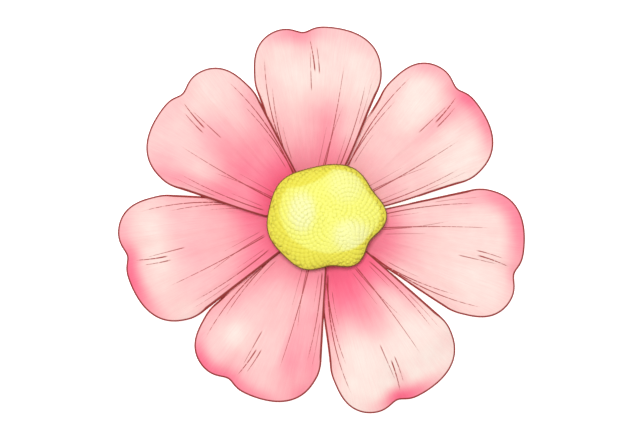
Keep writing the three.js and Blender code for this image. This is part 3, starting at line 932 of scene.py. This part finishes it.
def cutFace(nodes, place, colour, tints):  # pale pith in a ring of darker strands, on the nipped end only
    cut = bracts["cutEnd"]
    axes = nodes.add("ShaderNodeSeparateXYZ", (place,)).outputs
    reach = nodes.vector("LENGTH", nodes.vector("MULTIPLY", place, (1, 1, 0)))
    wander = nodes.noise(place, cut["wanderScale"], detail=3)
    ragged = nodes.maths("MULTIPLY_ADD", wander, cut["wander"], reach)
    turn = nodes.maths("ARCTAN2", axes[1], axes[0])
    wave = nodes.maths("SINE", nodes.maths("MULTIPLY", turn, cut["strands"]))
    strands = nodes.ramp(wave, *cut["strandEdge"])
    ring = nodes.maths("MULTIPLY", nodes.ramp(ragged, *cut["ringInside"]),
                       nodes.ramp(ragged, *cut["ringOutside"]))
    face = nodes.ramp(axes[2], *cut["faceHeight"])
    pith = nodes.tint(nodes.maths("MULTIPLY", ring, strands), paint(tints["pith"]), paint(tints["strand"]))
    inside = nodes.maths("MULTIPLY", face, nodes.ramp(ragged, *cut["faceEdge"]))
    return nodes.tint(inside, colour, pith)


def bractMaterial(name, tints, lineCount, paleMargin):
    material = bpy.data.materials.new(name)
    material.use_nodes = True
    nodes = Nodes(material.node_tree)
    finish = bracts["finish"]
    place = nodes.millimetres()
    blade = nodes.add("ShaderNodeUVMap", uv_map="blade").outputs[0]
    grain = nodes.group(fibreGrain, Blade=blade, **finish["fibreDensity"])
    mottle = nodes.ramp(nodes.noise(place, finish["mottleScale"], detail=3), *finish["mottleLevels"])
    colour = nodes.tint(mottle, paint(tints["body"]), paint(tints["light"]))
    axes = nodes.add("ShaderNodeSeparateXYZ", (blade,)).outputs
    stripe = nodes.maths("SINE", nodes.maths("MULTIPLY", axes[0], 2 * math.pi * lineCount))
    veinMask = nodes.maths("MULTIPLY", nodes.ramp(stripe, *finish["stripeEdge"]), finish["stripeShare"])
    colour = nodes.tint(veinMask, colour, paint(tints["vein"]))
    margin = nodes.attribute("margin")
    thin = nodes.maths("MULTIPLY", nodes.ramp(margin, *finish["paleEdge"]),
                       nodes.ramp(margin, *finish["bladesOnly"]))
    colour = nodes.tint(nodes.maths("MULTIPLY", thin, paleMargin), colour, paint(tints["margin"]))
    if "pith" in tints:
        colour = cutFace(nodes, place, colour, tints)
    height = nodes.maths("MULTIPLY_ADD", veinMask, finish["stripeHeight"], grain)
    roughness = nodes.ramp(grain, *finish["roughLevels"], *finish["roughness"])
    nodes.finish(colour, roughness, height, finish["bump"], **{"Specular IOR Level": finish["specular"]})
    return material


def startTurnedPiece(profile):
    bm = bmesh.new()
    bm.loops.layers.uv.new("blade")
    bm.verts.layers.float.new("margin")
    turnProfile(bm, profile, bracts["turns"])
    return bm


def makeInnerBracts(aims):
    inside = bracts["cupInside"]
    outside = inside + bracts["cupWall"]
    foot = bracts["cupFoot"]
    top = bracts["cupTop"]
    footIn, footUp = bracts["footRounding"]
    lipIn, lipDown = bracts["lipRounding"]
    cup = startTurnedPiece([
        (inside, foot), (outside - footIn, foot), (outside, foot + footUp), (outside, top - lipDown),
        (outside - lipIn, top), (inside, top), (inside, foot),
    ])
    bmesh.ops.recalc_face_normals(cup, faces=cup.faces)
    addBlades(cup, innerBractPoint, aims, bracts["inner"])
    material = bractMaterial("strawBract", bracts["straw"], lineCount=9, paleMargin=0.8)
    finishPiece("innerBracts", cup, material, "inner_bracts")


def makeReceptacle(aims):
    body = startTurnedPiece(bracts["receptacle"])
    for vert in body.verts:
        wave = math.cos(bracts["stalkRidges"] * math.atan2(vert.co.y, vert.co.x))
        fade = 1 - smoothStep(vert.co.z, *bracts["ridgeFade"])
        ridge = 1 + bracts["ridgeHeight"] * wave * fade
        vert.co.x *= ridge
        vert.co.y *= ridge
    bmesh.ops.recalc_face_normals(body, faces=body.faces)
    addBlades(body, outerBractPoint, aims, bracts["outer"])
    material = bractMaterial("leafGreen", bracts["green"], lineCount=5, paleMargin=0.5)
    finishPiece("greenReceptacle", body, material, "receptacle")


# An inner bract stands behind each petal, and an outer one beside the middle of each gap
petalAims = [petal["aim"] for petal in petals]
gapAims = []
for aim, following in zip(petalAims, petalAims[1:] + petalAims[:1]):
    gapAims.append(aim - (aim - following) % 360 / 2 + bracts["outer"]["aside"])
makeInnerBracts(petalAims)
makeReceptacle(gapAims)
print("Bracts and receptacle made")

# The photograph's frame: its size in pixels, where the flower's axis is in it, and what a pixel
# measures at the petals' height
photo = {"width": 626, "height": 443, "axis": (328, 217.5), "pixel": 0.18, "petalHeight": 11.2}
studio = {
    "lens": 135,
    "sensor": 36,
    "floorSize": 3,
    "paper": (0.93, 0.96),
    "paperFleck": 300,
    "paperRoughness": 0.8,
    "paperBump": 0.02,
    "paperSpecular": 0.1,
    "glow": 0.55,
    "world": 0.55,
    "lightPlace": (-0.05, 0.12, 0.75),
    "lightSize": 0.3,
    "lightPower": 4.4,
}


def makeStudio():
    bm = bmesh.new()
    bmesh.ops.create_grid(bm, x_segments=1, y_segments=1, size=studio["floorSize"] / 2)
    bmesh.ops.translate(bm, vec=(0, 0, cadLow.z), verts=bm.verts)
    mesh = bpy.data.meshes.new("floor")
    bm.to_mesh(mesh)
    bm.free()
    material = bpy.data.materials.new("palePaper")
    material.use_nodes = True
    nodes = Nodes(material.node_tree)
    fleck = nodes.noise(nodes.add("ShaderNodeTexCoord").outputs["Object"], studio["paperFleck"])
    dull, bright = studio["paper"]
    colour = nodes.tint(fleck, (dull, dull, dull, 1), (bright, bright, bright, 1))
    shine = {"Specular IOR Level": studio["paperSpecular"], "Emission Strength": studio["glow"],
             "Emission Color": (1, 1, 1, 1)}
    nodes.finish(colour, studio["paperRoughness"], fleck, studio["paperBump"], **shine)
    mesh.materials.append(material)
    floor = bpy.data.objects.new("floor", mesh)
    bpy.context.scene.collection.objects.link(floor)

    world = bpy.data.worlds.new("studioWhite")
    world.use_nodes = True
    background = world.node_tree.nodes["Background"]
    background.inputs["Color"].default_value = (1, 1, 1, 1)
    background.inputs["Strength"].default_value = studio["world"]
    bpy.context.scene.world = world

    lamp = bpy.data.lights.new("softLight", "AREA")
    lamp.shape = "DISK"
    lamp.size = studio["lightSize"]
    lamp.energy = studio["lightPower"]
    light = bpy.data.objects.new("softLight", lamp)
    light.location = studio["lightPlace"]
    light.rotation_euler = (-Vector(studio["lightPlace"])).to_track_quat("-Z", "Y").to_euler()
    bpy.context.scene.collection.objects.link(light)

    pixel = photo["pixel"] * mm
    lens = bpy.data.cameras.new("camera")
    lens.lens = studio["lens"]
    lens.sensor_width = studio["sensor"]
    camera = bpy.data.objects.new("camera", lens)
    distance = photo["width"] * pixel * studio["lens"] / studio["sensor"]
    camera.location = ((photo["width"] / 2 - photo["axis"][0]) * pixel,
                       (photo["axis"][1] - photo["height"] / 2) * pixel,
                       photo["petalHeight"] * mm + distance)
    bpy.context.scene.collection.objects.link(camera)
    bpy.context.scene.camera = camera
    bpy.context.scene.view_settings.view_transform = "Standard"


makeStudio()
print("Studio made")
